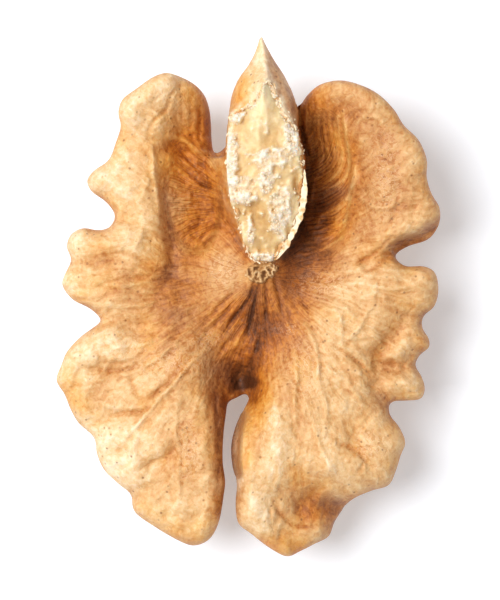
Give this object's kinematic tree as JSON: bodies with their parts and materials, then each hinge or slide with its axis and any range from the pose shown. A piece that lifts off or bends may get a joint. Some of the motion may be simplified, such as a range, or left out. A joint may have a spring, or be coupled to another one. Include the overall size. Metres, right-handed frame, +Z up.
{
  "type": "walnut kernel half",
  "caption": "Half of a shelled walnut kernel: lobed wings, a pointed germ torn along its length, and a wrinkled, domed back that it rests on.",
  "frame": {"origin": "under the middle of the bounding box, on the surface the half rests on", "axes": "+X across the wings, +Y towards the germ's tip, +Z up through the inner face"},
  "size_m": [0.0268, 0.036, 0.0129],
  "materials": {
    "pellicle": "thin dry papery skin, tan to orange brown, satin"
  },
  "bodies": {
    "root": {"walnut_kernel_half": "pellicle"}
  },
  "joints": []
}
